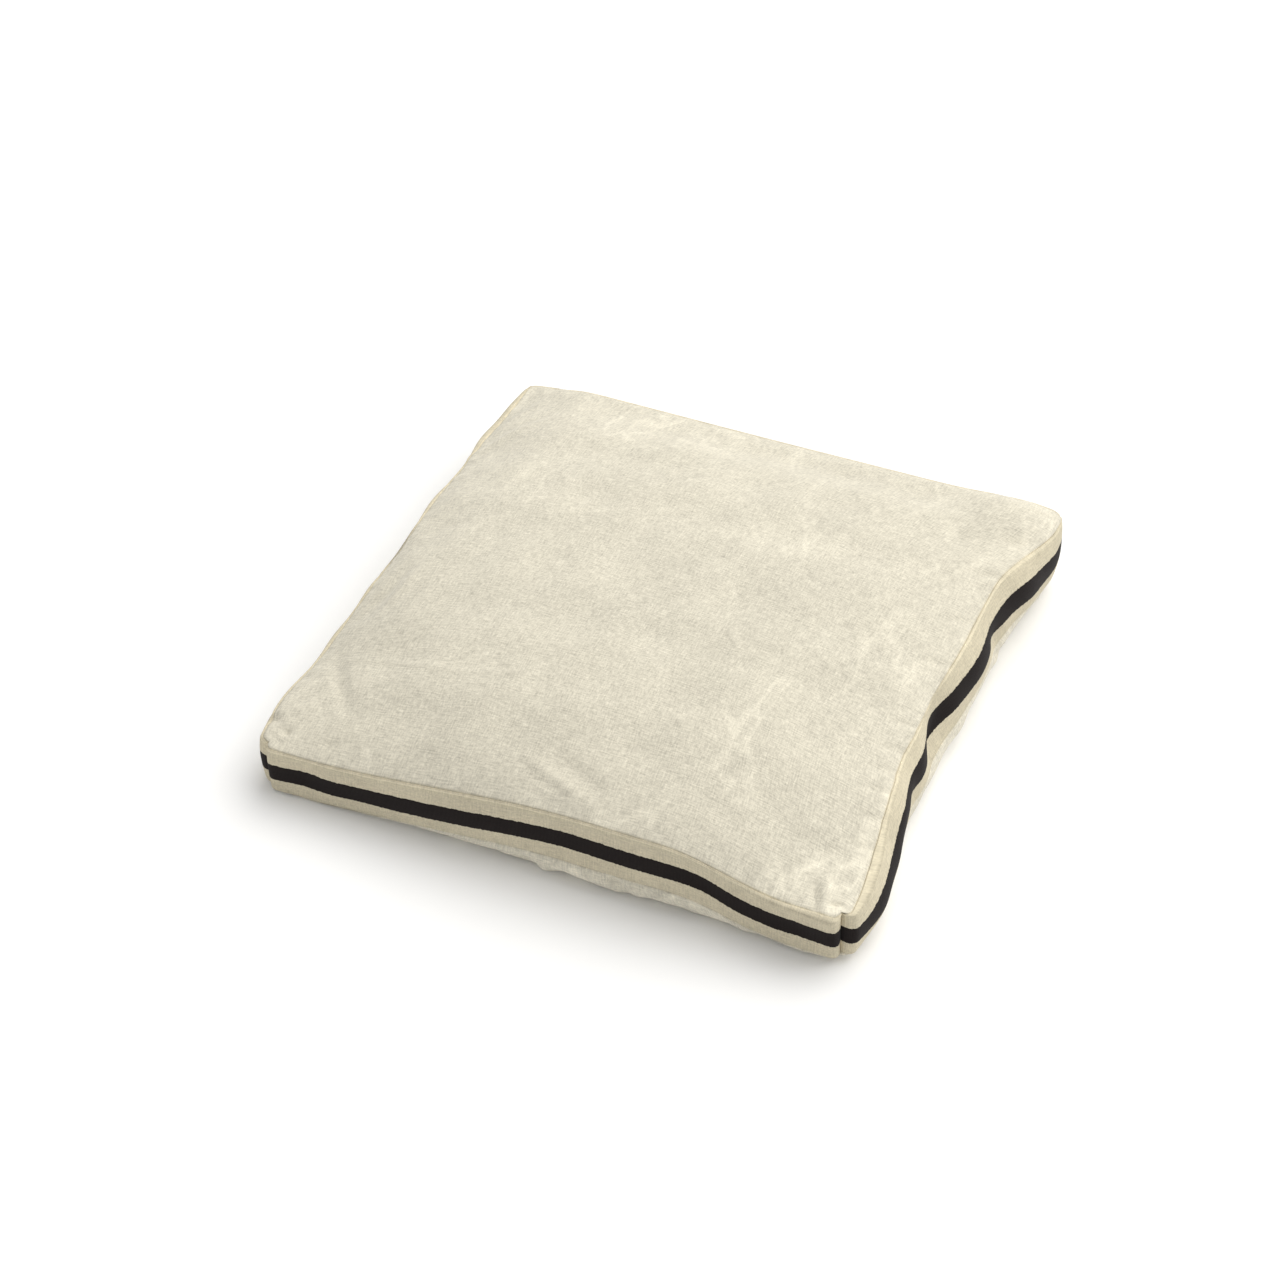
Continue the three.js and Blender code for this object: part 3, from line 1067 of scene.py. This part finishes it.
def shrunk(form, side_inset, face_inset):
    """A softened copy of the cover's form, a little smaller, as what is stuffed inside it."""
    made = bmesh.new()
    made.from_mesh(form)
    for _ in range(3):
        bmesh.ops.smooth_vert(
            made, verts=made.verts, factor=0.5, use_axis_x=True, use_axis_y=True, use_axis_z=True
        )
    middle = Vector((0, 0, sizes().crown / 2))
    across = 1 - side_inset / (sizes().side / 2)
    upward = 1 - face_inset / middle.z
    bmesh.ops.translate(made, verts=made.verts, vec=-middle)
    bmesh.ops.scale(made, verts=made.verts, vec=(across, across, upward))
    bmesh.ops.translate(made, verts=made.verts, vec=middle)
    for vertex in made.verts:
        vertex.co.y = min(vertex.co.y, pad_limit(vertex.co) - (side_inset - PAD_SIDE_INSET))
    return made


def pad_limit(place):
    """How far back the pad may reach at a place, so that it stays clear of the zip."""
    heights = (ZIP_SEAM_HEIGHT - 6 * MM, ZIP_SEAM_HEIGHT, ZIP_SEAM_HEIGHT + 12 * MM)
    reaches = (LOWER_TAPE_LOW.y - 2 * MM, UPPER_ROW_LOW.y - 3 * MM, UPPER_ROW_LOW.y - 3 * MM)
    limit = np.interp(place.z, (*heights, heights[-1] + 10 * MM), (*reaches, sizes().side / 2))
    past = np.interp(abs(place.x) - LOWER_TAPE_HIGH.x, (6 * MM, 28 * MM), (0, 40 * MM))
    return float(limit + past)


def make_pad():
    """The cotton pad case and the loose fibre inside it."""
    form = stuffed_form()
    case = shrunk(form, PAD_SIDE_INSET, PAD_FACE_INSET)
    mesh = bpy.data.meshes.new("pad_case")
    case.to_mesh(mesh)
    case.free()
    piece = finished("pad_case", mesh, cotton_material(), "cushion")
    sides = ("top", "bottom", "band_front", "band_right", "band_back", "band_left")
    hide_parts(*(f"pad_case_{side}" for side in sides))
    loose = shrunk(form, PAD_SIDE_INSET + FILL_INSET, PAD_FACE_INSET + FILL_INSET)
    mesh = bpy.data.meshes.new("fibre_filling")
    loose.to_mesh(mesh)
    loose.free()
    piece = finished("fibre_filling", mesh, fibre_material(), "cushion")
    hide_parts("pad_filling")


# ---- label and zip ----

def softened(node, name, material, body, width):
    """A CAD node's shape with its edges rounded over."""
    made = bmesh.new()
    made.from_mesh(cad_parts[node].data)
    bmesh.ops.remove_doubles(made, verts=made.verts, dist=0.01 * MM)
    bmesh.ops.dissolve_limit(
        made, angle_limit=math.radians(2), verts=made.verts, edges=made.edges
    )
    sharp = [edge for edge in made.edges if edge.calc_face_angle(0) > math.radians(30)]
    bmesh.ops.bevel(
        made,
        geom=sharp,
        offset=width,
        offset_type="OFFSET",
        affect="EDGES",
        segments=3,
        profile=0.5,
        material=-1,
        clamp_overlap=True,
    )
    mesh = bpy.data.meshes.new(name)
    made.to_mesh(mesh)
    made.free()
    piece = finished(name, mesh, material, body)
    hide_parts(node)
    return piece


def make_label():
    """The care label, a folded ribbon sewn into the seam inside the cover."""
    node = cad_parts["care_label"]
    node.data.materials.clear()
    node.data.materials.append(
        twill_material("label_ribbon", colours().ribbon, 0.7 * MM, math.pi / 2)
    )


def make_tapes():
    """The zip's two woven tapes."""
    material = twill_material("zip_tape_twill", colours().tape, 0.8 * MM, 0.9)
    for node in ("zip_tape_upper", "zip_tape_lower"):
        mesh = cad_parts[node].data
        mesh.materials.clear()
        mesh.materials.append(material)


COIL_PITCH = 1.7 * MM
COIL_WIRE = 0.3 * MM
COIL_WIRE_SIDES = 5
COIL_TURN_STEPS = 10


def coil_row(name, node, low, high, material):
    """One row of nylon turns along X, where the CAD bar is."""
    middle = (low + high) / 2
    radius = (high.z - low.z) / 2 - COIL_WIRE
    turns = int((high.x - low.x - 2 * COIL_WIRE) / COIL_PITCH)
    made = bmesh.new()
    ring = bmesh.ops.create_circle(
        made, segments=COIL_WIRE_SIDES, radius=COIL_WIRE, matrix=Matrix.Rotation(math.pi / 2, 4, "X")
    )["verts"]
    start = Vector((low.x + COIL_WIRE, middle.y, middle.z + radius))
    bmesh.ops.translate(made, verts=ring, vec=start)
    bmesh.ops.spin(
        made,
        geom=made.verts[:] + made.edges[:],
        cent=Vector((start.x, middle.y, middle.z)),
        axis=(1, 0, 0),
        dvec=(COIL_PITCH / COIL_TURN_STEPS, 0, 0),
        angle=2 * math.pi * turns,
        steps=COIL_TURN_STEPS * turns,
    )
    ends = [edge for edge in made.edges if edge.is_boundary]
    bmesh.ops.holes_fill(made, edges=ends)
    bmesh.ops.recalc_face_normals(made, faces=made.faces)
    mesh = bpy.data.meshes.new(name)
    made.to_mesh(mesh)
    made.free()
    piece = finished(name, mesh, material, "cushion")
    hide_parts(node)


def make_coils():
    """The two rows of the zip's coil."""
    material = nylon_material()
    coil_row("coil_row_upper", "zip_coil_upper", UPPER_ROW_LOW, UPPER_ROW_HIGH, material)
    coil_row("coil_row_lower", "zip_coil_lower", LOWER_ROW_LOW, LOWER_ROW_HIGH, material)


def make_metalwork():
    """The zip's slider, pull and three stops."""
    metal = metal_material()
    softened("zip_slider", "slider_body", metal, "slider", 0.3 * MM)
    softened("zip_pull", "pull_tab", metal, "pull", 0.2 * MM)
    for node in ("zip_top_stop_upper", "zip_top_stop_lower", "zip_bottom_stop"):
        softened(node, node.replace("zip_", "clip_"), metal, "cushion", 0.25 * MM)


# ---- stage ----

CAMERA_PLACE = (1.033, -2.276, 2.281)
CAMERA_AZIMUTH = math.radians(25.37)
CAMERA_ELEVATION = math.radians(41.61)
CAMERA_ROLL = math.radians(-1.69)
CAMERA_LENS = 88.97


SKY_STRENGTH = 0.58
SUN_STRENGTH = 2.56
SUN_SPREAD = math.radians(70)
SUN_AIM = (-0.42, -0.7, -1.0)
FLOOR_REACH = 12  # metres


def make_camera():
    """The camera at the cushion's front right, looking down on it."""
    data = bpy.data.cameras.new("camera")
    data.lens = CAMERA_LENS
    data.sensor_width = 36
    camera = bpy.data.objects.new("camera", data)
    turn = Matrix.Rotation(CAMERA_AZIMUTH, 4, "Z")
    tilt = Matrix.Rotation(math.pi / 2 - CAMERA_ELEVATION, 4, "X")
    roll = Matrix.Rotation(CAMERA_ROLL, 4, "Z")
    camera.matrix_world = Matrix.Translation(CAMERA_PLACE) @ turn @ tilt @ roll
    bpy.context.scene.collection.objects.link(camera)
    bpy.context.scene.camera = camera


def make_lights():
    """A pale sky all round and one broad soft light from behind the right-hand side."""
    world = bpy.data.worlds.new("studio")
    world.use_nodes = True
    sky = world.node_tree.nodes["Background"]
    sky.inputs["Color"].default_value = (1, 1, 1, 1)
    sky.inputs["Strength"].default_value = SKY_STRENGTH
    bpy.context.scene.world = world
    data = bpy.data.lights.new("key", "SUN")
    data.energy = SUN_STRENGTH
    data.angle = SUN_SPREAD
    data.color = (1.0, 0.985, 0.96)
    key = bpy.data.objects.new("key", data)
    key.rotation_euler = Vector(SUN_AIM).to_track_quat("-Z", "Y").to_euler()
    bpy.context.scene.collection.objects.link(key)


def make_floor():
    """A wide pale floor at the height on which the cushion rests."""
    made = bmesh.new()
    bmesh.ops.create_grid(made, x_segments=8, y_segments=8, size=FLOOR_REACH)
    mesh = bpy.data.meshes.new("floor")
    made.to_mesh(mesh)
    made.free()
    mesh.materials.append(floor_material())
    floor = bpy.data.objects.new("floor", mesh)
    bpy.context.scene.collection.objects.link(floor)


# ---- operators ----

class CUSHION_OT_stage(bpy.types.Operator):
    """Set up the floor, the lights and the camera"""

    bl_idname = "cushion.stage"
    bl_label = "Stage"

    def execute(self, context):
        context.scene.view_settings.view_transform = "Standard"
        make_camera()
        make_lights()
        make_floor()
        return {"FINISHED"}


class CUSHION_OT_cover(bpy.types.Operator):
    """Make the linen cover's panels and striped bands"""

    bl_idname = "cushion.cover"
    bl_label = "Cover"

    def execute(self, context):
        make_cover()
        return {"FINISHED"}


class CUSHION_OT_pad(bpy.types.Operator):
    """Make the cotton pad case and its fibre filling"""

    bl_idname = "cushion.pad"
    bl_label = "Pad"

    def execute(self, context):
        make_pad()
        return {"FINISHED"}


class CUSHION_OT_label(bpy.types.Operator):
    """Finish the care label"""

    bl_idname = "cushion.label"
    bl_label = "Care label"

    def execute(self, context):
        make_label()
        return {"FINISHED"}


class CUSHION_OT_zip(bpy.types.Operator):
    """Make the zip's tapes, coil rows, stops, slider and pull"""

    bl_idname = "cushion.zip"
    bl_label = "Zip"

    def execute(self, context):
        make_tapes()
        make_coils()
        make_metalwork()
        return {"FINISHED"}


OPERATORS = (
    CUSHION_OT_stage,
    CUSHION_OT_cover,
    CUSHION_OT_pad,
    CUSHION_OT_label,
    CUSHION_OT_zip,
)


class CUSHION_PT_tools(bpy.types.Panel):
    """Lists the cushion's steps, sizes and colours in the sidebar"""

    bl_idname = "CUSHION_PT_tools"
    bl_label = "Floor cushion"
    bl_space_type = "VIEW_3D"
    bl_region_type = "UI"
    bl_category = "Cushion"

    def draw(self, context):
        for operator in OPERATORS:
            self.layout.operator(operator.bl_idname)
        for group in (context.scene.cushion_sizes, context.scene.cushion_colours):
            for name in group.__annotations__:
                self.layout.prop(group, name)


CLASSES = (CushionSizes, CushionColours, *OPERATORS, CUSHION_PT_tools)


def register():
    for cls in CLASSES:
        bpy.utils.register_class(cls)
    bpy.types.Scene.cushion_sizes = bpy.props.PointerProperty(type=CushionSizes)
    bpy.types.Scene.cushion_colours = bpy.props.PointerProperty(type=CushionColours)


def unregister():
    del bpy.types.Scene.cushion_colours
    del bpy.types.Scene.cushion_sizes
    for cls in reversed(CLASSES):
        bpy.utils.unregister_class(cls)


def main():
    register()
    bpy.ops.cushion.stage()
    bpy.ops.cushion.cover()
    bpy.ops.cushion.pad()
    bpy.ops.cushion.label()
    bpy.ops.cushion.zip()
    bpy.context.view_layer.update()


if __name__ == "__main__":
    main()
